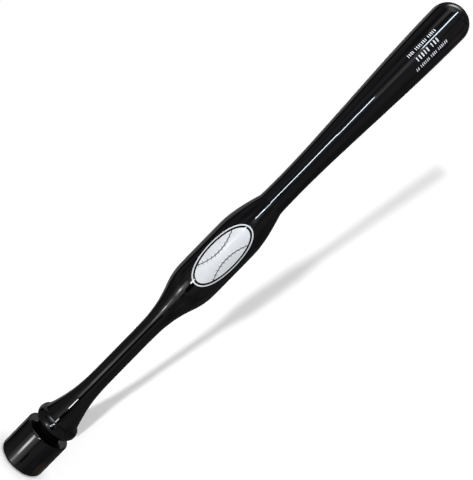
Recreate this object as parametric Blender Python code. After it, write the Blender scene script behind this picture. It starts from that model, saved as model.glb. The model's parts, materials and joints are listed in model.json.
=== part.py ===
"""Two-hand training bat with a screw-on counterweight, standing on the weight.

The bat is one turned length of lacquered birch: knob, lower handle, a swelling that
keeps the hands apart, upper handle and barrel. Below the knob hangs a turned
counterweight, held by a hex bolt that screws into a brass insert in the knob.

Metres, +Z up. The origin is the middle of the weight's flat underside, and the bat
runs up +Z to the barrel's tip. Printed marks face -Y. Outlines are in millimetres.
"""

import math

import bmesh
import bpy

MM = 0.001
GAP = 0.3               # clearance between pieces that touch
MERGE = 0.0000005       # merge distance in metres, far below any real edge

# Counterweight, millimetres
WEIGHT_RADIUS = 33.3
WEIGHT_HEIGHT = 52.5
WEIGHT_FOOT_ROUND = 4.5
WEIGHT_TOP_ROUND = 2.5
POCKET_RADIUS = 19.3
POCKET_DEPTH = 38.0
WEB_THICKNESS = 6.0
NUT_RECESS_RADIUS = 12.0
PLUG_THICKNESS = 5.0

# Bat, millimetres
NECK_HEIGHT = 8.0
KNOB_BASE = WEIGHT_HEIGHT + NECK_HEIGHT
BEAD_ROUND = 9.5
BEAD_CENTRE_RADIUS = 22.0
BEAD_END_ANGLE = 62.0
BARREL_RADIUS = 29.4
DOME_HEIGHT = 25.2
DOME_POWER = 2.2
TIP = 847.8
INSERT_BORE_RADIUS = 9.3
INSERT_BORE_DEPTH = 31.5
STUD_BORE_DEPTH = 40.0

# Half-inch coarse-thread hardware, millimetres
THREAD_RADIUS = 6.35
BOLT_LENGTH = 69.85
HEX_CORNER_RADIUS = 11.0
HEAD_HEIGHT = 7.9
NUT_HEIGHT = 7.9
WASHER_RADIUS = 13.5
WASHER_THICKNESS = 2.4
COUNTERBORE_RADIUS = 13.9
CLEAR_RADIUS = THREAD_RADIUS + GAP

# Heights inside the counterweight, from the underside up
SLUG_BASE = PLUG_THICKNESS + GAP
SLUG_TOP = POCKET_DEPTH - GAP
HEAD_BASE = SLUG_BASE + 1.0
HEAD_TOP = HEAD_BASE + HEAD_HEIGHT
WASHER_BASE = HEAD_TOP + GAP
COUNTERBORE_TOP = WASHER_BASE + WASHER_THICKNESS + GAP
WEB_TOP = POCKET_DEPTH + WEB_THICKNESS
NUT_BASE = WEB_TOP + GAP
INSERT_BASE = KNOB_BASE + 0.7

SIDES = 40              # sides of the large turned pieces
SMALL_SIDES = 24        # sides of the hardware

# Printed film, millimetres
FILM_LIFT = 0.3
FILM_THICKNESS = 0.2

# Turned outline above the knob's bead: (height, radius) where the curve changes
KNOB_FLARE = [(84.0, 24.2), (94.0, 21.3), (107.0, 18.1), (122.0, 15.5), (145.0, 13.8), (170.0, 13.5)]
LOWER_HANDLE = [(225.0, 13.5), (252.0, 14.0), (272.0, 16.1), (286.0, 19.0)]
SWELLING = [(298.5, 22.7), (311.0, 27.0), (323.0, 30.1), (335.0, 31.5), (352.0, 31.8), (412.0, 31.7)]
SHOULDER = [(423.5, 31.4), (434.0, 30.3), (452.5, 26.8), (467.5, 22.9), (481.0, 19.0)]
UPPER_HANDLE = [(481.0, 19.0), (492.0, 18.5), (520.0, 18.3), (563.0, 19.1), (623.0, 21.7)]
BARREL = [(683.0, 24.7), (744.0, 27.5), (794.0, 29.0), (TIP - DOME_HEIGHT, BARREL_RADIUS)]


def clear_scene():
    for thing in list(bpy.data.objects):
        bpy.data.objects.remove(thing, do_unlink=True)


def finish_material(name, colour, roughness, metallic=0.0):
    material = bpy.data.materials.new(name)
    material.use_nodes = True
    shader = material.node_tree.nodes["Principled BSDF"]
    shader.inputs["Base Color"].default_value = (*colour, 1.0)
    shader.inputs["Roughness"].default_value = roughness
    shader.inputs["Metallic"].default_value = metallic
    material.diffuse_color = (*colour, 1.0)
    return material


def arc(radius_centre, height_centre, round_radius, start, end, steps):
    """Points (height, radius) on an arc; angle 0 points outwards, 90 points up."""
    points = []
    for step in range(steps + 1):
        angle = math.radians(start + (end - start) * step / steps)
        points.append((height_centre + round_radius * math.sin(angle),
                       radius_centre + round_radius * math.cos(angle)))
    return points


def flowing_curve(stations, steps):
    """Smooth curve (height, radius) through the stations that never overshoots them."""
    gaps = [b[0] - a[0] for a, b in zip(stations, stations[1:])]
    slopes = [(b[1] - a[1]) / gap for a, b, gap in zip(stations, stations[1:], gaps)]
    tangents = [slopes[0]]
    for before, after in zip(slopes, slopes[1:]):
        tangents.append(2 * before * after / (before + after) if before * after > 0 else 0.0)
    tangents.append(slopes[-1])
    points = []
    for index, gap in enumerate(gaps):
        for step in range(steps):
            s = step / steps
            points.append((stations[index][0] + s * gap,
                           (1 + 2 * s) * (1 - s) ** 2 * stations[index][1]
                           + s * (1 - s) ** 2 * gap * tangents[index]
                           + s * s * (3 - 2 * s) * stations[index + 1][1]
                           - s * s * (1 - s) * gap * tangents[index + 1]))
    return points + [stations[-1]]


def barrel_dome(steps):
    """Full, slightly squared dome (height, radius) from the barrel to the tip."""
    points = []
    for step in range(1, steps + 1):
        angle = math.radians(90.0 * step / steps)
        points.append((TIP - DOME_HEIGHT * (1 - math.sin(angle) ** (2 / DOME_POWER)),
                       BARREL_RADIUS * max(math.cos(angle), 0.0) ** (2 / DOME_POWER)))
    points[-1] = (TIP, 0.0)
    return points


def bat_surface(steps=2):
    """Outer surface (height, radius) of the bat above the knob's bead."""
    grip_part = flowing_curve(KNOB_FLARE + LOWER_HANDLE + SWELLING + SHOULDER, steps)
    hitting_part = flowing_curve(UPPER_HANDLE + BARREL, steps)
    return grip_part[:-1] + hitting_part


def radius_at(height):
    surface = bat_surface(steps=6)
    for (low, low_radius), (high, high_radius) in zip(surface, surface[1:]):
        if low <= height <= high:
            return low_radius + (high_radius - low_radius) * (height - low) / (high - low)
    raise ValueError("no surface at this height")


def new_object(name, bm, material, base=0.0, parent=None):
    """Object from a mesh built in millimetres, its origin on the bat's axis at base."""
    bmesh.ops.recalc_face_normals(bm, faces=bm.faces)
    for vert in bm.verts:
        vert.co.z -= base
        vert.co *= MM
    mesh = bpy.data.meshes.new(name)
    bm.to_mesh(mesh)
    bm.free()
    mesh.shade_smooth()
    mesh.set_sharp_from_angle(angle=math.radians(35))
    thing = bpy.data.objects.new(name, mesh)
    thing.location.z = base * MM
    bpy.context.scene.collection.objects.link(thing)
    if parent:
        thing.parent = parent
    if material:
        mesh.materials.append(material)
    return thing


def turned(name, outline, sides, material, base=0.0, parent=None):
    """Solid of revolution. An outline (height, radius) that leaves the axis is a ring."""
    bm = bmesh.new()
    points = [bm.verts.new((radius, 0.0, height)) for height, radius in outline]
    edges = [bm.edges.new(pair) for pair in zip(points, points[1:])]
    if outline[0][1] > 0:
        edges.append(bm.edges.new((points[-1], points[0])))
    bmesh.ops.spin(bm, geom=points + edges, cent=(0, 0, 0), axis=(0, 0, 1),
                   angle=2 * math.pi, steps=sides, use_merge=True)
    bmesh.ops.remove_doubles(bm, verts=bm.verts, dist=MERGE / MM)
    return new_object(name, bm, material, base, parent)


def cut(thing, cutter):
    """Subtracts cutter, which stays in the file as a hidden guide."""
    cutter.hide_render = True
    cutter.display_type = "WIRE"
    cutter.parent = thing.parent
    boolean = thing.modifiers.new("cut_" + cutter.name, "BOOLEAN")
    boolean.operation = "DIFFERENCE"
    boolean.solver = "EXACT"
    boolean.object = cutter


def hex_sleeve(name, low, high):
    """Six-sided tube whose inside is a half-inch spanner's hexagon."""
    outline = [(low, HEX_CORNER_RADIUS), (low, 20.0), (high, 20.0), (high, HEX_CORNER_RADIUS)]
    return turned(name, outline, 6, None)


def film_patch(name, low, high, centre_across, half_width, rows, columns, material):
    """Thin film that lies along the bat's -Y side between two heights.

    Widths are measured around the surface; half_width is a function of the share of
    the way from low to high. Rows crowd towards both ends, where a round mark narrows.
    """
    bm = bmesh.new()
    layers = []
    for lift in (FILM_LIFT, FILM_LIFT + FILM_THICKNESS):
        layer = []
        for row in range(rows + 1):
            share = (1 - math.cos(math.pi * row / rows)) / 2
            height = low + (high - low) * share
            radius = radius_at(height)
            line = []
            for column in range(columns + 1):
                across = centre_across + half_width(share) * (2 * column / columns - 1)
                angle = across / radius
                line.append(bm.verts.new(((radius + lift) * math.sin(angle),
                                          -(radius + lift) * math.cos(angle), height)))
            layer.append(line)
        layers.append(layer)
    for layer in layers:
        for below, above in zip(layer, layer[1:]):
            for column in range(columns):
                bm.faces.new((below[column], below[column + 1], above[column + 1], above[column]))
    rims = []
    for layer in layers:
        right_side = [line[-1] for line in layer[1:-1]]
        left_side = [line[0] for line in layer[1:-1]]
        rims.append(layer[0] + right_side + layer[-1][::-1] + left_side[::-1])
    inner, outer = rims
    for index in range(len(inner)):
        following = (index + 1) % len(inner)
        bm.faces.new((inner[index], inner[following], outer[following], outer[index]))
    return new_object(name, bm, material)


# Materials: colour, roughness, metallic
LACQUER = finish_material("black_lacquered_birch", (0.008, 0.008, 0.009), 0.08)
WHITE_FILM = finish_material("white_print_film", (0.82, 0.82, 0.84), 0.35)
RUBBER = finish_material("black_rubber", (0.012, 0.012, 0.012), 0.75)
STEEL = finish_material("turned_steel", (0.42, 0.43, 0.45), 0.35, 1.0)
ZINC = finish_material("zinc_plated_steel", (0.62, 0.63, 0.65), 0.28, 1.0)
BRASS = finish_material("machined_brass", (0.78, 0.57, 0.24), 0.25, 1.0)


def pivot(name):
    """Empty on the thread's axis that carries the pieces of one moving body."""
    empty = bpy.data.objects.new(name, None)
    empty.empty_display_size = WEIGHT_HEIGHT * MM
    bpy.context.scene.collection.objects.link(empty)
    return empty


def make_bat():
    bead = arc(BEAD_CENTRE_RADIUS, KNOB_BASE + BEAD_ROUND, BEAD_ROUND, -90, BEAD_END_ANGLE, 8)
    bore = [
        (KNOB_BASE + STUD_BORE_DEPTH, 0.0),
        (KNOB_BASE + STUD_BORE_DEPTH, CLEAR_RADIUS + 0.7),
        (KNOB_BASE + INSERT_BORE_DEPTH, CLEAR_RADIUS + 0.7),
        (KNOB_BASE + INSERT_BORE_DEPTH, INSERT_BORE_RADIUS),
        (KNOB_BASE, INSERT_BORE_RADIUS),
    ]
    turned("bat_body", bore + bead + bat_surface() + barrel_dome(8), SIDES, LACQUER, KNOB_BASE)


def make_insert():
    """Barbed brass bush: each ridge rises gently and drops square, so it can't pull out."""
    length = INSERT_BORE_DEPTH - 1.0
    ridges = 5
    outer = INSERT_BORE_RADIUS - GAP
    valley = outer - 0.8
    outline = [(INSERT_BASE + length, CLEAR_RADIUS), (INSERT_BASE, CLEAR_RADIUS)]
    for ridge in range(ridges):
        low = INSERT_BASE + length * ridge / ridges
        high = INSERT_BASE + length * (ridge + 1) / ridges
        outline += [(low, outer), (high - GAP, valley)]
    outline.append((INSERT_BASE + length, valley))
    turned("threaded_insert", outline, SMALL_SIDES, BRASS, INSERT_BASE)


def make_marks():
    """Plain oval mark on the swelling and three lines of small print near the tip."""
    def oval(share):
        return 1.0 + 26.0 * math.sqrt(max(0.0, 1.0 - (2 * share - 1) ** 2))

    film_patch("emblem_decal", 334.0, 441.0, 2.0, oval, 16, 10, WHITE_FILM)
    lines = [
        ("label_line_left", 742.0, 794.0, -6.6, 2.4),
        ("label_line_middle", 747.5, 789.0, 4.6, 3.3),
        ("label_line_right", 739.0, 796.5, 15.2, 2.4),
    ]
    for name, low, high, centre_across, half_width in lines:
        film_patch(name, low, high, centre_across, lambda share: half_width, 6, 3, WHITE_FILM)


def make_neck_ring(parent):
    low = WEIGHT_HEIGHT + GAP
    high = KNOB_BASE - GAP
    radius = 19.5
    bevel = 0.8
    outline = [(high, CLEAR_RADIUS), (low, CLEAR_RADIUS), (low, radius - bevel),
               (low + bevel, radius), (high - bevel, radius), (high, radius - bevel)]
    turned("neck_ring", outline, 36, RUBBER, low, parent)


def make_weight_shell(parent):
    foot_centre = WEIGHT_RADIUS - WEIGHT_FOOT_ROUND
    top_centre = WEIGHT_RADIUS - WEIGHT_TOP_ROUND
    foot = arc(foot_centre, WEIGHT_FOOT_ROUND, WEIGHT_FOOT_ROUND, -90, 0, 6)
    top = arc(top_centre, WEIGHT_HEIGHT - WEIGHT_TOP_ROUND, WEIGHT_TOP_ROUND, 0, 90, 5)
    hollow = [
        (WEIGHT_HEIGHT, NUT_RECESS_RADIUS), (WEB_TOP, NUT_RECESS_RADIUS),
        (WEB_TOP, CLEAR_RADIUS), (POCKET_DEPTH, CLEAR_RADIUS),
        (POCKET_DEPTH, POCKET_RADIUS), (0.0, POCKET_RADIUS),
    ]
    turned("weight_shell", foot + top + hollow, SIDES, LACQUER, 0.0, parent)


def make_slug(parent):
    outer = POCKET_RADIUS - GAP
    bevel = 0.8
    outline = [
        (SLUG_TOP, CLEAR_RADIUS), (COUNTERBORE_TOP, CLEAR_RADIUS),
        (COUNTERBORE_TOP, COUNTERBORE_RADIUS), (SLUG_BASE, COUNTERBORE_RADIUS),
        (SLUG_BASE, outer - bevel), (SLUG_BASE + bevel, outer),
        (SLUG_TOP - bevel, outer), (SLUG_TOP, outer - bevel),
    ]
    turned("steel_slug", outline, 36, STEEL, SLUG_BASE, parent)


def make_bolt(parent):
    head_radius = HEX_CORNER_RADIUS + 0.2
    bevel = 1.0
    tip = HEAD_TOP + BOLT_LENGTH
    outline = [
        (HEAD_BASE, 0.0), (HEAD_BASE, head_radius - 2 * bevel), (HEAD_BASE + bevel, head_radius),
        (HEAD_TOP, head_radius), (HEAD_TOP, THREAD_RADIUS),
        (tip - bevel, THREAD_RADIUS), (tip, THREAD_RADIUS - bevel), (tip, 0.0),
    ]
    bolt = turned("hex_bolt", outline, SMALL_SIDES, ZINC, HEAD_BASE, parent)
    cut(bolt, hex_sleeve("bolt_head_cutter", HEAD_BASE - 1.0, HEAD_TOP))


def make_nut(parent):
    outer = HEX_CORNER_RADIUS + 0.2
    bevel = 1.0
    top = NUT_BASE + NUT_HEIGHT
    outline = [
        (top, CLEAR_RADIUS), (NUT_BASE, CLEAR_RADIUS), (NUT_BASE, outer - 2 * bevel),
        (NUT_BASE + bevel, outer), (top - bevel, outer), (top, outer - 2 * bevel),
    ]
    nut = turned("jam_nut", outline, SMALL_SIDES, ZINC, NUT_BASE, parent)
    cut(nut, hex_sleeve("jam_nut_cutter", NUT_BASE - 1.0, top + 1.0))


def make_washer(parent):
    top = WASHER_BASE + WASHER_THICKNESS
    outline = [(top, CLEAR_RADIUS), (WASHER_BASE, CLEAR_RADIUS),
               (WASHER_BASE, WASHER_RADIUS), (top, WASHER_RADIUS)]
    turned("head_washer", outline, 32, ZINC, WASHER_BASE, parent)


def make_plug(parent):
    radius = POCKET_RADIUS - GAP
    bevel = 0.4
    outline = [(0.0, 0.0), (0.0, radius - bevel), (bevel, radius),
               (PLUG_THICKNESS, radius), (PLUG_THICKNESS, 0.0)]
    turned("bottom_plug", outline, 36, LACQUER, 0.0, parent)


clear_scene()
make_bat()
make_insert()
make_marks()
spacer = pivot("spacer_axis")
make_neck_ring(spacer)
weight = pivot("end_weight_axis")
make_weight_shell(weight)
make_slug(weight)
make_bolt(weight)
make_nut(weight)
make_washer(weight)
make_plug(weight)
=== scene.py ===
"""Looks of the two-hand training bat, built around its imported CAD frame.

Lengths in the outlines are in millimetres, as in the CAD source. Everything placed in
the scene is in metres. The bat's axis is +Z, and its printed marks face -Y.
"""

import json
import math

import bmesh
import bpy
from mathutils import Matrix, Vector

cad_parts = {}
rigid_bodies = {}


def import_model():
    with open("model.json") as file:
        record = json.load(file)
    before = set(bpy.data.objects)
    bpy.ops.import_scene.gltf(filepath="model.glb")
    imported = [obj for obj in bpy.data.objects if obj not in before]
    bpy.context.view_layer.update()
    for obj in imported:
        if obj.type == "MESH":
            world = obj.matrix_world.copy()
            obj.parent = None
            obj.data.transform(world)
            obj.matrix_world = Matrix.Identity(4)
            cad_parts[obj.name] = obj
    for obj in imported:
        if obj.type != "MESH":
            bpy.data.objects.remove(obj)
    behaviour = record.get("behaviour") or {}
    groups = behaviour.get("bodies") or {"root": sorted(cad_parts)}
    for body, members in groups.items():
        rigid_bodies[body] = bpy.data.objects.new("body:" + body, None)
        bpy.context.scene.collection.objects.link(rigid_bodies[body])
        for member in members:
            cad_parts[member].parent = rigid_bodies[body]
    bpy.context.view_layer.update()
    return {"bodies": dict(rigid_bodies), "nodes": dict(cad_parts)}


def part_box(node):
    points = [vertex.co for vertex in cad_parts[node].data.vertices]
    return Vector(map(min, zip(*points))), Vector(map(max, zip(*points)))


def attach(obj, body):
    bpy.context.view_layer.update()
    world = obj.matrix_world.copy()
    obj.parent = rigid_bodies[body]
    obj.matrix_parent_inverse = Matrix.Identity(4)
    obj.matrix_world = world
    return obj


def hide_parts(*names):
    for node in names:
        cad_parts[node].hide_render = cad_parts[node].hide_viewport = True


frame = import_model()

MM = 0.001

# Heights and radii of the CAD frame, millimetres
WEIGHT_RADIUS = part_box("weight_shell")[1].x / MM
WEIGHT_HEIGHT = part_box("weight_shell")[1].z / MM
KNOB_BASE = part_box("bat_body")[0].z / MM
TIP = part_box("bat_body")[1].z / MM

# The barrel's domed end, as in the CAD source, millimetres
BARREL_RADIUS = 29.4
DOME_HEIGHT = 25.2
DOME_POWER = 2.2                # 2 would be an ellipse, and more is squarer

# Radius of the holes that the stud passes through, as in the CAD source, millimetres
STUD_HOLE = 6.65

# Print, millimetres
INK_LIFT = 0.05
INK_THICKNESS = 0.04

# Outline of the bat above the knob's bead, as in the CAD source: (height, radius)
GRIP_STATIONS = [
    (84.0, 24.2), (94.0, 21.3), (107.0, 18.1), (122.0, 15.5), (145.0, 13.8), (170.0, 13.5),
    (225.0, 13.5), (252.0, 14.0), (272.0, 16.1), (286.0, 19.0), (298.5, 22.7), (311.0, 27.0),
    (323.0, 30.1), (335.0, 31.5), (352.0, 31.8), (412.0, 31.7), (423.5, 31.4), (434.0, 30.3),
    (452.5, 26.8), (467.5, 22.9), (481.0, 19.0),
]
BARREL_STATIONS = [
    (481.0, 19.0), (492.0, 18.5), (520.0, 18.3), (563.0, 19.1), (623.0, 21.7), (683.0, 24.7),
    (744.0, 27.5), (794.0, 29.0), (TIP - DOME_HEIGHT, BARREL_RADIUS),
]


# ---------------------------------------------------------------- outlines

def arc(radius_centre, height_centre, round_radius, start, end, steps):
    """Points (height, radius) on an arc; angle 0 points outwards, 90 points up."""
    points = []
    for step in range(steps + 1):
        angle = math.radians(start + (end - start) * step / steps)
        points.append((height_centre + round_radius * math.sin(angle),
                       radius_centre + round_radius * math.cos(angle)))
    return points


def flowing_curve(stations, steps):
    """Smooth curve (height, radius) through the stations that never overshoots them."""
    gaps = [b[0] - a[0] for a, b in zip(stations, stations[1:])]
    slopes = [(b[1] - a[1]) / gap for a, b, gap in zip(stations, stations[1:], gaps)]
    tangents = [slopes[0]]
    for before, after in zip(slopes, slopes[1:]):
        tangents.append(2 * before * after / (before + after) if before * after > 0 else 0.0)
    tangents.append(slopes[-1])
    points = []
    for index, gap in enumerate(gaps):
        for step in range(steps):
            s = step / steps
            points.append((stations[index][0] + s * gap,
                           (1 + 2 * s) * (1 - s) ** 2 * stations[index][1]
                           + s * (1 - s) ** 2 * gap * tangents[index]
                           + s * s * (3 - 2 * s) * stations[index + 1][1]
                           - s * s * (1 - s) * gap * tangents[index + 1]))
    return points + [stations[-1]]


def barrel_dome(steps):
    """Full, slightly squared dome (height, radius) from the barrel to the tip."""
    points = []
    for step in range(1, steps + 1):
        angle = math.radians(90.0 * step / steps)
        points.append((TIP - DOME_HEIGHT * (1 - math.sin(angle) ** (2 / DOME_POWER)),
                       BARREL_RADIUS * max(math.cos(angle), 0.0) ** (2 / DOME_POWER)))
    points[-1] = (TIP, 0.0)
    return points


BAT_SURFACE = flowing_curve(GRIP_STATIONS, 10)[:-1] + flowing_curve(BARREL_STATIONS, 12)


def radius_at(height, outline=BAT_SURFACE):
    """Radius of an outline of points (height, radius) at a height."""
    for (low, low_radius), (high, high_radius) in zip(outline, outline[1:]):
        if low <= height <= high:
            return low_radius + (high_radius - low_radius) * (height - low) / (high - low)
    raise ValueError("no surface at this height")


# ---------------------------------------------------------------- mesh making

OBJECT_PIECES = bpy.data.collections.new("object_pieces")
STAGE_PIECES = bpy.data.collections.new("stage_pieces")
FLAG_PIECES = bpy.data.collections.new("flag_pieces")
for group in (OBJECT_PIECES, STAGE_PIECES, FLAG_PIECES):
    bpy.context.scene.collection.children.link(group)


def object_from(name, bm, group=OBJECT_PIECES, sharp=30):
    """Object from a mesh built in millimetres."""
    bmesh.ops.recalc_face_normals(bm, faces=bm.faces)
    bmesh.ops.scale(bm, vec=(MM, MM, MM), verts=bm.verts)
    mesh = bpy.data.meshes.new(name)
    bm.to_mesh(mesh)
    bm.free()
    mesh.shade_smooth()
    mesh.set_sharp_from_angle(angle=math.radians(sharp))
    thing = bpy.data.objects.new(name, mesh)
    group.objects.link(thing)
    return thing


def turned(name, outline, sides, sharp=30, shape=None):
    """Solid of revolution, whose outline is closed if it leaves the axis.

    shape(height, radius, angle) may change a point's radius.
    """
    bm = bmesh.new()
    closed = outline[0][1] > 0
    rings = []
    for height, radius in outline:
        if radius == 0:
            rings.append([bm.verts.new((0, 0, height))] * sides)
            continue
        ring = []
        for side in range(sides):
            angle = 2 * math.pi * side / sides
            reach = shape(height, radius, angle) if shape else radius
            ring.append(bm.verts.new((reach * math.cos(angle), reach * math.sin(angle), height)))
        rings.append(ring)
    if closed:
        rings.append(rings[0])
    for below, above in zip(rings, rings[1:]):
        for side in range(sides):
            after = (side + 1) % sides
            corners = [below[side], below[after], above[after], above[side]]
            bm.faces.new(dict.fromkeys(corners))
    return object_from(name, bm, sharp=sharp)


def film(bm, lines, lift, closed=False):
    """Adds a thin film of ink to bm, lying on the bat's surface.

    Each line is a list of points (height, distance around the surface from -Y). The lines of
    a closed film are rings.
    """
    layers = []
    for offset in (lift, lift + INK_THICKNESS):
        layer = []
        for line in lines:
            corners = []
            for height, around in line:
                radius = radius_at(height)
                angle = around / radius
                corners.append(bm.verts.new(((radius + offset) * math.sin(angle),
                                             -(radius + offset) * math.cos(angle), height)))
            layer.append(corners)
        layers.append(layer)
    for layer in layers:
        for below, above in zip(layer, layer[1:]):
            for here in range(len(below) if closed else len(below) - 1):
                after = (here + 1) % len(below)
                bm.faces.new((below[here], below[after], above[after], above[here]))
    for inner, outer in zip(rims(layers[0], closed), rims(layers[1], closed)):
        for here in range(len(inner)):
            after = (here + 1) % len(inner)
            bm.faces.new((inner[here], inner[after], outer[after], outer[here]))


def rims(layer, closed):
    """The loops of corners around a film's edge."""
    if closed:
        return [layer[0], layer[-1]]
    right_side = [line[-1] for line in layer[1:-1]]
    left_side = [line[0] for line in layer[1:-1]]
    return [layer[0] + right_side + layer[-1][::-1] + left_side[::-1]]


def strip_lines(low, high, left_edge, right_edge, rows, columns):
    """Lines of a film between two edges, which give the distance around at a height."""
    lines = []
    for row in range(rows + 1):
        height = low + (high - low) * (1 - math.cos(math.pi * row / rows)) / 2
        left, right = left_edge(height), right_edge(height)
        lines.append([(height, left + (right - left) * column / columns)
                      for column in range(columns + 1)])
    return lines


# ---------------------------------------------------------------- materials

class Tree:
    """Short way to add nodes to a node tree and link them."""

    def __init__(self, tree, coordinates):
        self.tree = tree
        self.place = self.add("ShaderNodeTexCoord").outputs[coordinates]

    def add(self, kind, **settings):
        node = self.tree.nodes.new(kind)
        for key, value in settings.items():
            setattr(node, key, value)
        return node

    def link(self, source, target):
        self.tree.links.new(source, target)

    def stretched(self, scale):
        mapping = self.add("ShaderNodeMapping")
        mapping.inputs["Scale"].default_value = scale
        self.link(self.place, mapping.inputs["Vector"])
        return mapping.outputs["Vector"]

    def noise(self, scale, stretch=(1, 1, 1), detail=4.0):
        node = self.add("ShaderNodeTexNoise")
        node.inputs["Scale"].default_value = scale
        node.inputs["Detail"].default_value = detail
        self.link(self.stretched(stretch), node.inputs["Vector"])
        return node.outputs["Fac"]

    def ramp(self, source, *stops):
        """Colour that runs through the stops, each a position and a colour."""
        node = self.add("ShaderNodeValToRGB")
        elements = node.color_ramp.elements
        while len(elements) < len(stops):
            elements.new(0.5)
        for element, (position, colour) in zip(elements, stops):
            element.position = position
            element.color = (*colour, 1)
        self.link(source, node.inputs["Fac"])
        return node.outputs["Color"]

    def spread(self, source, low, high, to_low, to_high):
        """Value that goes from to_low to to_high as the source goes from low to high."""
        node = self.add("ShaderNodeMapRange")
        node.inputs["From Min"].default_value = low
        node.inputs["From Max"].default_value = high
        node.inputs["To Min"].default_value = to_low
        node.inputs["To Max"].default_value = to_high
        self.link(source, node.inputs["Value"])
        return node.outputs["Result"]

    def maths(self, operation, first, second):
        node = self.add("ShaderNodeMath", operation=operation)
        for socket, value in zip(node.inputs, (first, second)):
            if isinstance(value, (int, float)):
                socket.default_value = value
            else:
                self.link(value, socket)
        return node.outputs["Value"]

    def split(self, source):
        """The source's X, Y and Z."""
        node = self.add("ShaderNodeSeparateXYZ")
        self.link(source, node.inputs["Vector"])
        return node.outputs

    def tinted(self, colour, tint, share):
        """The colour with a share of the tint mixed in."""
        node = self.add("ShaderNodeMix", data_type="RGBA")
        self.link(share, node.inputs["Factor"])
        self.link(colour, node.inputs["A"])
        node.inputs["B"].default_value = (*tint, 1)
        return node.outputs["Result"]


class Nodes(Tree):
    """Nodes of a new material, whose patterns lie in the piece's own coordinates."""

    def __init__(self, name):
        self.material = bpy.data.materials.new(name)
        self.material.use_nodes = True
        super().__init__(self.material.node_tree, "Object")
        self.shader = self.tree.nodes["Principled BSDF"]

    def bump(self, height, strength, distance):
        node = self.add("ShaderNodeBump")
        node.inputs["Strength"].default_value = strength
        node.inputs["Distance"].default_value = distance
        self.link(height, node.inputs["Height"])
        self.link(node.outputs["Normal"], self.shader.inputs["Normal"])

    def set(self, **values):
        """Sets constants on the shader's own sockets, with _ for each space in a name."""
        for key, value in values.items():
            self.shader.inputs[key.replace("_", " ")].default_value = value


COAT_WEIGHT = 0.6
BARE_ROUGHNESS = 0.9
BARE_EDGE = 0.0003              # metres over which the gloss begins above a bare face


def lacquer(name, brown_spot, bare_height=None):
    """Black gloss lacquer over birch, with a brown tint at one spot.

    The brown spot is its place and reach in metres, and its colour. Faces at the bare
    height or lower keep the black stain only, without the gloss.
    """
    made = Nodes(name)
    grain = made.noise(260.0, stretch=(1, 1, 0.035), detail=4.0)
    black = made.ramp(grain, (0.35, (0.0008, 0.0008, 0.0010)), (0.7, (0.0026, 0.0024, 0.0023)))
    spot, reach, brown = brown_spot
    distance = made.add("ShaderNodeVectorMath", operation="DISTANCE")
    made.link(made.place, distance.inputs[0])
    distance.inputs[1].default_value = spot
    near = made.spread(distance.outputs["Value"], 0.0, reach, 1.0, 0.0)
    patchy = made.maths("MULTIPLY", near, made.spread(grain, 0.3, 0.7, 0.3, 1.0))
    made.link(made.tinted(black, brown, patchy), made.shader.inputs["Base Color"])
    smear = made.noise(38.0, stretch=(1, 1, 0.35), detail=3.0)
    roughness = made.spread(smear, 0.35, 0.7, 0.04, 0.08)
    peel = made.noise(55.0, stretch=(1, 1, 0.5), detail=1.0)
    pores = made.noise(1400.0, stretch=(1, 1, 0.05), detail=2.0)
    fine = made.maths("MULTIPLY", pores, 0.015)
    texture = made.maths("ADD", made.maths("MULTIPLY", grain, 0.2), fine)
    made.bump(made.maths("ADD", peel, texture), 1.0, 0.0002)
    made.set(IOR=1.5, Coat_Weight=COAT_WEIGHT, Coat_Roughness=0.02, Coat_IOR=1.5)
    if bare_height:
        height = made.split(made.place)["Z"]
        bare = made.spread(height, bare_height, bare_height + BARE_EDGE, 1.0, 0.0)
        roughness = made.maths("MAXIMUM", roughness, made.maths("MULTIPLY", bare, BARE_ROUGHNESS))
        made.link(made.spread(bare, 0.0, 1.0, COAT_WEIGHT, 0.0), made.shader.inputs["Coat Weight"])
    made.link(roughness, made.shader.inputs["Roughness"])
    return made.material


def print_film(name, dark, light):
    """Screen-print ink under the clear coat, a little cloudy, with pinholes."""
    made = Nodes(name)
    cloud = made.noise(90.0, detail=3.0)
    speck = made.noise(1700.0, detail=2.0)
    base = made.ramp(cloud, (0.3, dark), (0.7, light))
    worn = tuple(0.8 * channel for channel in dark)
    pinholes = made.spread(speck, 0.62, 0.75, 0.0, 0.35)
    made.link(made.tinted(base, worn, pinholes), made.shader.inputs["Base Color"])
    made.link(made.spread(cloud, 0.3, 0.7, 0.3, 0.42), made.shader.inputs["Roughness"])
    made.bump(speck, 0.06, 0.00005)
    made.set(Coat_Weight=0.5, Coat_Roughness=0.04)
    return made.material


def rubber(name):
    """Matt black rubber with a little dust."""
    made = Nodes(name)
    dust = made.noise(120.0, detail=5.0)
    colour = made.ramp(dust, (0.35, (0.0006, 0.0006, 0.0006)), (0.75, (0.0025, 0.0025, 0.0025)))
    made.link(colour, made.shader.inputs["Base Color"])
    made.link(made.spread(dust, 0.3, 0.7, 0.62, 0.85), made.shader.inputs["Roughness"])
    made.bump(made.noise(2200.0, detail=2.0), 0.3, 0.0001)
    made.set(Specular_IOR_Level=0.08)
    return made.material


def metal(name, dark, light, rough_low, rough_high):
    """Machined metal with tool lines around the axis and uneven brightness."""
    made = Nodes(name)
    tool = made.noise(180.0, stretch=(1, 1, 14), detail=3.0)
    stain = made.noise(55.0, detail=4.0)
    both = made.maths("MULTIPLY", made.maths("ADD", tool, stain), 0.5)
    made.link(made.ramp(both, (0.3, dark), (0.65, light)), made.shader.inputs["Base Color"])
    made.link(made.spread(tool, 0.3, 0.7, rough_low, rough_high), made.shader.inputs["Roughness"])
    made.bump(tool, 0.25, 0.0001)
    made.set(Metallic=1.0)
    return made.material


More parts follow.
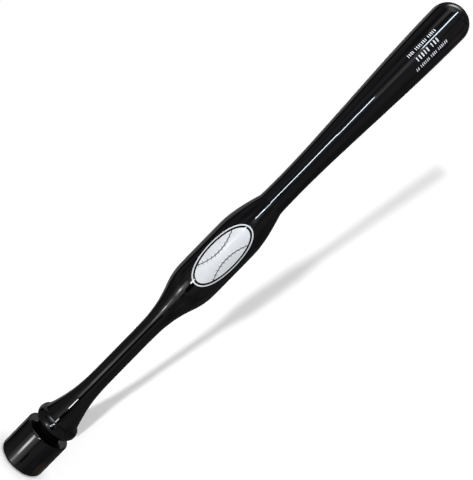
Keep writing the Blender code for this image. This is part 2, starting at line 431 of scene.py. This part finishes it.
# Brown spots: (place, reach, colour), in metres
SHOULDER_BROWN = ((0.0254, -0.0148, 0.806), 0.014, (0.028, 0.012, 0.004))
FOOT_BROWN = ((0.0294, -0.0156, 0.017), 0.016, (0.055, 0.028, 0.012))
BARE_HEIGHT = (KNOB_BASE + 0.1) * MM            # the knob's underside is bare

BAT_LACQUER = lacquer("bat_gloss_black", SHOULDER_BROWN, BARE_HEIGHT)
WEIGHT_LACQUER = lacquer("weight_gloss_black", FOOT_BROWN)
WHITE_INK = print_film("print_white", (0.78, 0.78, 0.79), (0.84, 0.84, 0.845))
BLACK_INK = print_film("print_black", (0.004, 0.004, 0.004), (0.007, 0.007, 0.007))
RUBBER = rubber("ring_black_rubber")
BRASS = metal("insert_turned_brass", (0.55, 0.36, 0.12), (0.83, 0.62, 0.28), 0.16, 0.32)
STEEL = metal("slug_turned_steel", (0.30, 0.31, 0.33), (0.48, 0.49, 0.51), 0.25, 0.42)
ZINC = metal("zinc_plate", (0.50, 0.51, 0.53), (0.72, 0.73, 0.75), 0.18, 0.34)


def place(thing, material, body, slot, *nodes):
    """Gives a piece its material and its body, and hides the nodes it stands for. The slot is not
    used.
    """
    thing.data.materials.clear()
    thing.data.materials.append(material)
    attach(thing, body)
    if nodes:
        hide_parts(*nodes)


# ---------------------------------------------------------------- the bat

def make_bat():
    """The turning, from the bore in the knob round the knob's bead and up to the tip."""
    bead_centre, bead_round = 22.0, 9.5
    bush_depth, bush_bore = 31.5, 9.3
    stud_depth, stud_bore = 40.0, 7.35
    bead = arc(bead_centre, KNOB_BASE + bead_round, bead_round, -90, 62, 28)
    bore = [
        (KNOB_BASE + stud_depth, 0.0), (KNOB_BASE + stud_depth, stud_bore),
        (KNOB_BASE + bush_depth, stud_bore), (KNOB_BASE + bush_depth, bush_bore),
        (KNOB_BASE, bush_bore),
    ]
    outline = bore + bead + BAT_SURFACE + barrel_dome(28)
    place(turned("bat_turning", outline, 144), BAT_LACQUER, "bat", "bat_lacquer", "bat_body")


def make_insert():
    """Bush with barbed ridges outside and a lead-in to its bore."""
    length, sunk = 30.5, 0.7
    lead, mouth = 0.8, 7.3
    ridges, ridge_radius, root_radius, ridge_step = 5, 9.0, 8.2, 0.3
    base = KNOB_BASE + sunk
    outline = [(base + length, STUD_HOLE), (base + lead, STUD_HOLE), (base, mouth)]
    for ridge in range(ridges):
        low = base + length * ridge / ridges
        high = base + length * (ridge + 1) / ridges
        outline += [(low, ridge_radius), (high - ridge_step, root_radius)]
    outline.append((base + length, root_radius))
    piece = turned("insert_bush", outline, 72)
    place(piece, BRASS, "bat", "insert_brass", "threaded_insert")


# ---------------------------------------------------------------- the printed marks

EMBLEM_MIDDLE = 387.5
EMBLEM_CENTRE = 2.0             # distance around the surface from -Y
BADGE_OVAL = (52.0, 25.0)       # half height and half width
BADGE_LINE = 2.0
BALL_OVAL = (47.0, 20.2)
SEAM_NEAREST = 7.0              # from the middle line to a seam, where it is nearest
SEAM_BOW = 17.0
SEAM_HALF_WIDTH = 0.55
STITCH_SPACING = 6.2
STITCH_REACH = 2.3
STITCH_RISE = 0.7 * STITCH_REACH
STITCH_THICKNESS = 0.75
STITCH_LIFT = INK_LIFT + INK_THICKNESS + 0.01


def oval_half_width(oval, height):
    """Half the width of an oval (half height, half width) around the emblem's middle."""
    share = (height - EMBLEM_MIDDLE) / oval[0]
    return oval[1] * math.sqrt(max(0.0, 1 - share * share))


def oval_ring(oval, points=144):
    """Closed line of points (height, distance around) on an oval."""
    ring = []
    for point in range(points):
        angle = 2 * math.pi * point / points
        ring.append((EMBLEM_MIDDLE + oval[0] * math.sin(angle),
                     EMBLEM_CENTRE + oval[1] * math.cos(angle)))
    return ring


def seam_distance(height):
    """Distance of each ball seam from the emblem's middle line; the seams bow inwards."""
    share = (height - EMBLEM_MIDDLE) / BALL_OVAL[0]
    return SEAM_NEAREST + SEAM_BOW * share * share


def make_emblem():
    """Plain oval badge: a ball with two stitched seams inside a ring."""
    bm = bmesh.new()
    inner_oval = [half - BADGE_LINE for half in BADGE_OVAL]
    film(bm, [oval_ring(BADGE_OVAL), oval_ring(inner_oval)], INK_LIFT, closed=True)
    reach = BALL_OVAL[0] * 0.9995       # short of the oval's ends, where it has no width

    def middle_half(height):
        return min(oval_half_width(BALL_OVAL, height), seam_distance(height) - SEAM_HALF_WIDTH)

    film(bm, strip_lines(EMBLEM_MIDDLE - reach, EMBLEM_MIDDLE + reach,
                         lambda h: EMBLEM_CENTRE - middle_half(h),
                         lambda h: EMBLEM_CENTRE + middle_half(h), rows=96, columns=36), INK_LIFT)
    # Half the height of the ball's side fields, which end where their seam leaves the oval
    side, step, least_width = 0.0, 0.05, 0.1
    while (oval_half_width(BALL_OVAL, EMBLEM_MIDDLE + side)
           > seam_distance(EMBLEM_MIDDLE + side) + SEAM_HALF_WIDTH + least_width):
        side += step
    for hand in (-1, 1):
        film(bm, strip_lines(
            EMBLEM_MIDDLE - side, EMBLEM_MIDDLE + side,
            lambda h: EMBLEM_CENTRE + hand * oval_half_width(BALL_OVAL, h),
            lambda h: EMBLEM_CENTRE + hand * (seam_distance(h) + SEAM_HALF_WIDTH),
            rows=72, columns=20), INK_LIFT)
    place(object_from("emblem_oval", bm, sharp=60), WHITE_INK, "bat", "print_film", "emblem_decal")

    stitches = bmesh.new()
    count = int(side / STITCH_SPACING)
    for hand in (-1, 1):
        for index in range(-count, count + 1):
            height = EMBLEM_MIDDLE + index * STITCH_SPACING
            seam = EMBLEM_CENTRE + hand * seam_distance(height)
            for way in (-1, 1):
                lines = [[(height + way * (share * STITCH_RISE + edge * STITCH_THICKNESS / 2),
                           seam + way * hand * share * STITCH_REACH) for share in (0.0, 0.5, 1.0)]
                         for edge in (-1, 1)]
                film(stitches, lines, STITCH_LIFT)
    piece = object_from("emblem_stitches", stitches, sharp=60)
    place(piece, BLACK_INK, "bat", "print_film", "emblem_decal")


THIN_BAR = 0.75                 # every third bar's thickness, as a share of the others'
WORD_GAP = 0.7                  # extra gap between groups, as a share of the pitch


def make_label_lines():
    """Rows of small upright bars, grouped like words but with no letter in them."""
    # Piece, node, start height, middle, bar's length, pitch, thickness by pitch, bars in a group
    rows = [
        ("label_bars_left", "label_line_left", 742.4, -6.6, 4.2, 2.94, 0.5, (4, 7, 5)),
        ("label_bars_middle", "label_line_middle", 748.1, 4.6, 6.2, 4.63, 0.42, (5, 3)),
        ("label_bars_right", "label_line_right", 739.7, 15.2, 4.2, 2.79, 0.45, (2, 6, 4, 6)),
    ]
    for name, node, start, middle, length, pitch, weight, groups in rows:
        bm = bmesh.new()
        height = start
        for bars in groups:
            for index in range(bars):
                thick = pitch * weight * (1.0 if index % 3 else THIN_BAR)
                film(bm, strip_lines(height, height + thick, lambda h: middle - length / 2,
                                     lambda h: middle + length / 2, rows=2, columns=4), INK_LIFT)
                height += pitch
            height += pitch * WORD_GAP
        place(object_from(name, bm, sharp=60), WHITE_INK, "bat", "print_film", node)


# ---------------------------------------------------------------- the counterweight

def make_neck_ring():
    """Washer with rounded rims, set back in the groove."""
    low, high, radius, edge = 52.8, 60.2, 19.5, 0.8
    outline = [(high, STUD_HOLE), (low, STUD_HOLE)]
    outline += arc(radius - edge, low + edge, edge, -90, 0, 5)
    outline += arc(radius - edge, high - edge, edge, 0, 90, 5)
    place(turned("groove_ring", outline, 96), RUBBER, "spacer", "ring_rubber", "neck_ring")


def make_weight():
    """Shell with a recess for the jam nut above its web and a pocket for the slug below."""
    foot_round, top_round = 4.5, 2.5
    web_low, web_high = 38.0, 44.0
    recess, pocket = 12.0, 19.3
    foot = arc(WEIGHT_RADIUS - foot_round, foot_round, foot_round, -90, 0, 18)
    top = arc(WEIGHT_RADIUS - top_round, WEIGHT_HEIGHT - top_round, top_round, 0, 90, 14)
    hollow = [
        (WEIGHT_HEIGHT, recess), (web_high, recess), (web_high, STUD_HOLE),
        (web_low, STUD_HOLE), (web_low, pocket), (0.0, pocket),
    ]
    piece = turned("weight_turning", foot + top + hollow, 144)
    place(piece, WEIGHT_LACQUER, "end_weight", "weight_lacquer", "weight_shell")


def make_plug():
    """Disc flush with the foot, with a rounded lower edge."""
    radius, edge, height = 19.0, 0.5, 5.0
    outline = [(0.0, 0.0)] + arc(radius - edge, edge, edge, -90, 0, 4)
    outline += [(height, radius), (height, 0.0)]
    piece = turned("foot_plug", outline, 96)
    place(piece, WEIGHT_LACQUER, "end_weight", "weight_lacquer", "bottom_plug")


def make_stud():
    """The bolt, with its thread cut as a helical groove above the jam nut."""
    pitch = 25.4 / 13
    depth = 0.9
    head_base, head_top, thread_base, tip = 6.3, 14.2, 30.0, 84.05
    thread_radius, chamfer = 6.35, 1.2

    def thread(height, radius, angle):
        if height < thread_base or radius < thread_radius:
            return radius
        turn = (height / pitch - angle / (2 * math.pi)) % 1.0
        return radius - depth * abs(2 * turn - 1)

    outline = [(head_top, 0.0), (head_top, thread_radius), (thread_base, thread_radius)]
    rows = 216
    threaded = tip - chamfer - thread_base
    outline += [(thread_base + threaded * row / rows, thread_radius) for row in range(1, rows + 1)]
    outline += [(tip, thread_radius - chamfer), (tip, 0.0)]
    shank = turned("bolt_shank", outline, 48, sharp=50, shape=thread)
    place(shank, ZINC, "end_weight", "zinc_steel", "hex_bolt")

    corner = 11.0
    seat = head_top - 0.02          # a hair below the shank's end, so that no faces coincide
    bm = bmesh.new()
    rings = []
    # The head's lower edge is rounded off in two steps
    for height, radius in ((head_base, corner - 1.8), (head_base + 0.6, corner - 0.4),
                           (head_base + 1.2, corner), (seat, corner)):
        rings.append([bm.verts.new((radius * math.cos(math.radians(60 * side)),
                                    radius * math.sin(math.radians(60 * side)), height))
                      for side in range(6)])
    for below, above in zip(rings, rings[1:]):
        for side in range(6):
            after = (side + 1) % 6
            bm.faces.new((below[side], below[after], above[after], above[side]))
    bm.faces.new(rings[0][::-1])
    bm.faces.new(rings[-1])
    head = object_from("bolt_head", bm)
    place(head, ZINC, "end_weight", "zinc_steel", "hex_bolt")


def finish_hidden_hardware():
    """The slug, washer and nut keep their CAD shape and get a machined surface."""
    for node, material in (("steel_slug", STEEL), ("head_washer", ZINC), ("jam_nut", ZINC)):
        mesh = frame["nodes"][node].data
        mesh.materials.clear()
        mesh.materials.append(material)


make_bat()
make_insert()
make_emblem()
make_label_lines()
make_neck_ring()
make_weight()
make_plug()
make_stud()
finish_hidden_hardware()
for node in frame["nodes"].values():
    OBJECT_PIECES.objects.link(node)        # so that the object's lights reach it


# ---------------------------------------------------------------- camera

AXIS_TILT = math.radians(45.56)     # the bat's lean in the picture, from level
CAMERA_DISTANCE = 0.7778
CAMERA_AIM = Vector((0.00075, 0.0, 0.4146))
LENS, SENSOR = 43.05, 36.0          # millimetres


def make_camera():
    """Looks square at the marked side, rolled so that the barrel points up and right."""
    data = bpy.data.cameras.new("camera")
    data.lens = LENS
    data.sensor_width = SENSOR
    data.dof.use_dof = False
    camera = bpy.data.objects.new("camera", data)
    right = Vector((math.sin(AXIS_TILT), 0, math.cos(AXIS_TILT)))
    up = Vector((-math.cos(AXIS_TILT), 0, math.sin(AXIS_TILT)))
    back = Vector((0, -1, 0))
    turn = Matrix((right, up, back)).transposed().to_4x4()
    camera.matrix_world = Matrix.Translation(CAMERA_AIM + back * CAMERA_DISTANCE) @ turn
    bpy.context.scene.collection.objects.link(camera)
    bpy.context.scene.camera = camera


make_camera()


# ---------------------------------------------------------------- stage and light

RAY_KINDS = ("camera", "diffuse", "glossy", "transmission", "volume_scatter", "shadow")


def show_to(thing, *kinds):
    """Lets only these kinds of ray see a thing."""
    for kind in RAY_KINDS:
        setattr(thing, "visible_" + kind, kind in kinds)


def plain_material(name, colour):
    """Matt and almost even."""
    made = Nodes(name)
    mottle = made.noise(3.0, detail=2.0)
    low = tuple(c * 0.985 for c in colour)
    made.link(made.ramp(mottle, (0.3, low), (0.7, colour)), made.shader.inputs["Base Color"])
    made.set(Roughness=0.95, Specular_IOR_Level=0.0)
    return made.material


def stage_sheet(name, corners, material, *seen_by):
    """Flat sheet of the stage, seen only by the kinds of ray named."""
    mesh = bpy.data.meshes.new(name)
    mesh.from_pydata(corners, [], [tuple(range(len(corners)))])
    mesh.materials.append(material)
    # A glow fades along the sides of its sheet, which has four corners
    layer = mesh.uv_layers.new()
    for loop, corner in zip(layer.data, ((0, 0), (1, 0), (1, 1), (0, 1))):
        loop.uv = corner
    sheet = bpy.data.objects.new(name, mesh)
    STAGE_PIECES.objects.link(sheet)
    show_to(sheet, *seen_by)
    return sheet


def level_corners(left, right, front, back, height):
    """Corners of a level sheet."""
    return [(left, front, height), (right, front, height), (right, back, height), (left, back, height)]


def stand_on(sheet):
    """Keeps a sheet of the stage under the foot, which sinks with the ring as it screws off."""
    sheet.parent = frame["bodies"]["spacer"]


PAPER = plain_material("pale_paper", (0.86, 0.86, 0.86))
CARD = plain_material("black_card", (0.0003, 0.0003, 0.0003))
FLOOR_REACH = 6.0
BOARD_LEAN = 0.617      # how far the board behind leans back for each metre of height
BOARD_FOOT = 0.0345
BOARD_TOP = 1.0
BOARD_RIGHT = 0.9
# Left edge (side, height) from the top down: it reaches in beside the neck, where the streak
# starts, and keeps clear of the bat above, so that from behind it only hides a bite of the foot
BOARD_EDGE = [
    (0.034, BOARD_TOP), (0.034, 0.125), (0.0265, 0.105), (0.0192, 0.087), (0.0192, 0.076),
    (0.0215, 0.067), (0.0235, 0.06), (0.028, 0.052), (0.034, 0.045), (0.034, 0),
]


def make_stage():
    """Pale floor under the foot, and behind the bat a board that shows the soft streak."""
    floor = level_corners(-FLOOR_REACH, FLOOR_REACH, -FLOOR_REACH, FLOOR_REACH, 0)
    outline = [(BOARD_RIGHT, 0), (BOARD_RIGHT, BOARD_TOP)] + BOARD_EDGE
    board = [(side, BOARD_FOOT + BOARD_LEAN * height, height) for side, height in outline]
    stand_on(stage_sheet("floor", floor, PAPER, "camera"))
    stand_on(stage_sheet("board", board, PAPER, "camera"))


FLAG_STRETCH = 1.03             # the flag's height by the bat's
FLAG_FOOT = 43.0
# Widest reach of the flag's right side, millimetres: (height, reach)
FLAG_RIGHT = [
    (FLAG_FOOT, 11.0), (58, 10.1), (72, 9.7), (86, 6.8), (100, 5.2), (115, 4.7), (145, 5.1),
    (180, 5.0), (240, 6.4), (260, 30.0), (TIP, 30.0),
]


def flag_share(height):
    """The flag's width as a share of the bat's: the soft streak thins towards the tip."""
    return 0.52 - 0.10 * height * MM


def make_flag():
    """Slim flag in the bat's outline that throws the soft streak on the board."""
    outline = [(FLAG_FOOT, WEIGHT_RADIUS), (KNOB_BASE, WEIGHT_RADIUS)]
    outline += BAT_SURFACE + barrel_dome(12)[:-1]
    bm = bmesh.new()
    rows = []
    for height, radius in outline:
        reach = radius * flag_share(height)
        sides = (-reach, min(reach, radius_at(height, FLAG_RIGHT)))
        rows.append([bm.verts.new((side, 0, height * FLAG_STRETCH)) for side in sides])
    for below, above in zip(rows, rows[1:]):
        bm.faces.new((below[0], below[1], above[1], above[0]))
    flag = object_from("flag", bm, FLAG_PIECES)
    flag.data.materials.append(PAPER)
    show_to(flag, "shadow")


# Distances from the axis of the lamps, of one nearer lamp, and of the cards behind the lamps
LIGHT_DISTANCE = 1.0
NEAR_DISTANCE = 0.45
CARD_DISTANCE = 1.03


def around_axis(azimuth, distance, height):
    """Point around the bat; azimuth is in degrees, 0 at -Y and 90 at +X."""
    angle = math.radians(azimuth)
    return Vector((distance * math.sin(angle), -distance * math.cos(angle), height))


def panel(name, left, right, low, high, radiance, colour=(1, 1, 1), distance=LIGHT_DISTANCE):
    """Upright lamp facing the axis, between two azimuths and two heights, for the object only."""
    width = 2 * distance * math.tan(math.radians(right - left) / 2)
    data = bpy.data.lights.new(name, "AREA")
    data.shape = "RECTANGLE"
    data.size = width
    data.size_y = high - low
    data.energy = radiance * math.pi * width * (high - low)     # watts that give the radiance
    data.color = colour
    lamp = bpy.data.objects.new(name, data)
    bpy.context.scene.collection.objects.link(lamp)
    middle = (left + right) / 2
    lamp.location = around_axis(middle, distance, (low + high) / 2)
    outwards = around_axis(middle, 1.0, 0.0)
    sideways = around_axis(middle + 90, 1.0, 0.0)
    turn = Matrix((sideways, Vector((0, 0, 1)), outwards)).transposed()
    lamp.rotation_mode = "QUATERNION"
    lamp.rotation_quaternion = turn.to_quaternion()
    lamp.visible_camera = False
    lamp.light_linking.receiver_collection = OBJECT_PIECES


def upright_corners(left, right, low, high, top_left=None, top_right=None):
    """Corners of an upright sheet between two azimuths, which may differ at its top."""
    top_left = left if top_left is None else top_left
    top_right = right if top_right is None else top_right
    return [around_axis(azimuth, CARD_DISTANCE, height) for azimuth, height in
            ((left, low), (right, low), (top_right, high), (top_left, high))]


def black_card(name, corners):
    """Black card that only the object's reflections see."""
    stage_sheet(name, corners, CARD, "glossy")


def glow(name, corners, radiance, side_fade, end_fade):
    """Soft-edged bright sheet that only the object's reflections see.

    The fades are powers: 0 has no fade, and more fades sooner towards the sides or ends.
    """
    made = Nodes(name)
    sides = made.split(made.add("ShaderNodeTexCoord").outputs["UV"])
    fades = []
    for axis, fade in (("X", side_fade), ("Y", end_fade)):
        parabola = made.maths("MULTIPLY", sides[axis], made.maths("SUBTRACT", 1.0, sides[axis]))
        fades.append(made.maths("POWER", made.maths("MULTIPLY", parabola, 4.0), fade))
    strength = made.maths("MULTIPLY", made.maths("MULTIPLY", *fades), radiance)
    emission = made.add("ShaderNodeEmission")
    made.link(strength, emission.inputs["Strength"])
    both = made.add("ShaderNodeAddShader")
    made.link(emission.outputs["Emission"], both.inputs[0])
    made.link(made.add("ShaderNodeBsdfTransparent").outputs["BSDF"], both.inputs[1])
    made.link(both.outputs["Shader"], made.tree.nodes["Material Output"].inputs["Surface"])
    made.tree.nodes.remove(made.shader)
    stage_sheet(name, corners, made.material, "glossy")


def sun(name, direction, strength, softness, receivers):
    """Distant light for the receivers only."""
    data = bpy.data.lights.new(name, "SUN")
    data.energy = strength
    data.angle = math.radians(softness)
    lamp = bpy.data.objects.new(name, data)
    bpy.context.scene.collection.objects.link(lamp)
    lamp.rotation_mode = "QUATERNION"
    lamp.rotation_quaternion = Vector(direction).to_track_quat("-Z", "Y")
    lamp.light_linking.receiver_collection = receivers
    return lamp


def stage_sun(name, direction, strength, softness, blockers):
    """Distant light for the stage only, whose shadows come from the blockers only.

    The stage's own sheets block nothing, so they stand for no shadow at all.
    """
    lamp = sun(name, direction, strength, softness, STAGE_PIECES)
    lamp.light_linking.blocker_collection = blockers


def ink_sun():
    """Frontal light on the print only: the lacquer is too dark for it and doesn't reflect it."""
    lamp = sun("ink_sun", (0.2, 1.0, -0.3), 1.32, 20.0, OBJECT_PIECES)
    lamp.visible_glossy = False


COOL = (0.75, 0.87, 1.0)        # the bluish white of the key lamps over the barrel


def make_lights():
    """What the lacquer reflects, the light on the print, and the suns on the stage."""
    # Lamps that draw the long highlights: azimuths, heights, radiance
    panel("key_low", -12.0, -6.2, 0.07, 0.195, 20.0)
    panel("key_knob", -10.0, -4.0, 0.34, 0.50, 9.0)
    panel("key_middle", -10.9, -5.9, 0.60, 0.757, 24.0, COOL)
    panel("key_near", -7.6, -3.1, 0.670, 0.777, 22.0, COOL, NEAR_DISTANCE)
    panel("key_faint", -7.0, 9.0, 0.905, 1.14, 0.3)
    panel("key_top", -7.2, -2.6, 1.14, 2.4, 22.0, COOL)
    panel("back_strip", 171.0, 189.0, 0.62, 1.55, 3.0)

    # Glows and cards that draw the soft ones and the dark between: radiance, side fade, end fade
    glow("back_glow", upright_corners(166, 194, -1.2, 0.36), 3.0, 1.0, 0.3)
    glow("rim_low", upright_corners(-152, -134, -0.65, 0.66, -152, -107), 0.22, 0.35, 0.0)
    glow("rim_high", upright_corners(-152, -107, 0.66, 1.5, -152, -124), 0.22, 0.35, 0.0)
    glow("wide_glow", upright_corners(-52, 3, -1.0, -0.22), 0.62, 1.0, 0.3)
    glow("handle_glow", upright_corners(-38, -3, -0.36, 0.08, -37, -9), 1.15, 1.3, 0.8)
    glow("flare_glow", upright_corners(-34, -8, 0.06, 0.40), 0.35, 1.0, 0.5)
    glow("band_glow", upright_corners(-36, -20, -0.75, -0.12), 2.2, 1.2, 0.8)
    glow("core_glow", upright_corners(-33.5, -22, -0.54, -0.355), 7.5, 1.2, 1.0)
    glow("shoulder_glow", upright_corners(-50, -36, 1.22, 2.0, -70, -8), 0.5, 0.4, 0.2)
    glow("top_glow", level_corners(-2.2, 0.3, -1.5, 0.15, 2.3), 0.3, 1.0, 0.5)
    glow("crown_glow", level_corners(-1.45, 0.25, -0.33, 0.33, 2.2), 4.0, 3.3, 1.2)
    black_card("card_under_key", upright_corners(-5, 13, -0.35, 0.65, -16, 9))
    black_card("card_left", upright_corners(-132, -120, -0.65, 0.66, -105, -96))
    black_card("card_left_high", upright_corners(-105, -96, 0.66, 1.5, -122, -110))
    glow("gap_glow", upright_corners(166, 194, 0.34, 0.64), 0.17, 0.3, 0.2)
    black_card("small_clamp", upright_corners(5.2, 13, -0.56, -0.475))
    ink_sun()

    # Suns on the stage: the flag's streak, the even page, the contact shadow, the board's back
    stage_sun("shadow_sun", (0.403, 1.0, 0.011), 2.0, 3.8, FLAG_PIECES)
    stage_sun("fill_sun", (0, 0.8, -0.6), 0.45, 3.0, STAGE_PIECES)
    stage_sun("overhead_sun", (0, 0, -1), 2.2, 45.0, OBJECT_PIECES)
    stage_sun("back_sun", (0, -1, -0.2), 4.3, 3.0, STAGE_PIECES)


def make_world():
    """White page to the camera, even light on matt surfaces, a dim studio in reflections."""
    world = bpy.data.worlds.new("studio")
    world.use_nodes = True
    world.node_tree.nodes.clear()
    made = Tree(world.node_tree, "Generated")
    path = made.add("ShaderNodeLightPath")

    def background(strength):
        node = made.add("ShaderNodeBackground")
        node.inputs["Color"].default_value = (1, 1, 1, 1)
        node.inputs["Strength"].default_value = strength
        return node.outputs["Background"]

    def studio():
        """Cloudy light, dimmer behind the bat than in front of it."""
        node = made.add("ShaderNodeBackground")
        depth = made.split(made.place)["Y"]
        made.link(made.spread(depth, -1.0, 0.5, 0.17, 0.06), node.inputs["Strength"])
        cloud = made.noise(4.0, stretch=(1, 1, 0.4), detail=3.0)
        tint = made.ramp(cloud, (0.35, (0.35, 0.38, 0.42)), (0.65, (1.3, 1.28, 1.38)))
        made.link(tint, node.inputs["Color"])
        return node.outputs["Background"]

    def for_ray(kind, chosen, otherwise):
        node = made.add("ShaderNodeMixShader")
        made.link(path.outputs[kind], node.inputs["Fac"])
        made.link(otherwise, node.inputs[1])
        made.link(chosen, node.inputs[2])
        return node.outputs["Shader"]

    unseen = for_ray("Is Diffuse Ray", background(0.25), studio())
    everything = for_ray("Is Camera Ray", background(1.0), unseen)
    out = made.add("ShaderNodeOutputWorld")
    made.link(everything, out.inputs["Surface"])
    bpy.context.scene.world = world


make_stage()
make_flag()
make_lights()
make_world()
bpy.context.scene.view_settings.view_transform = "Standard"
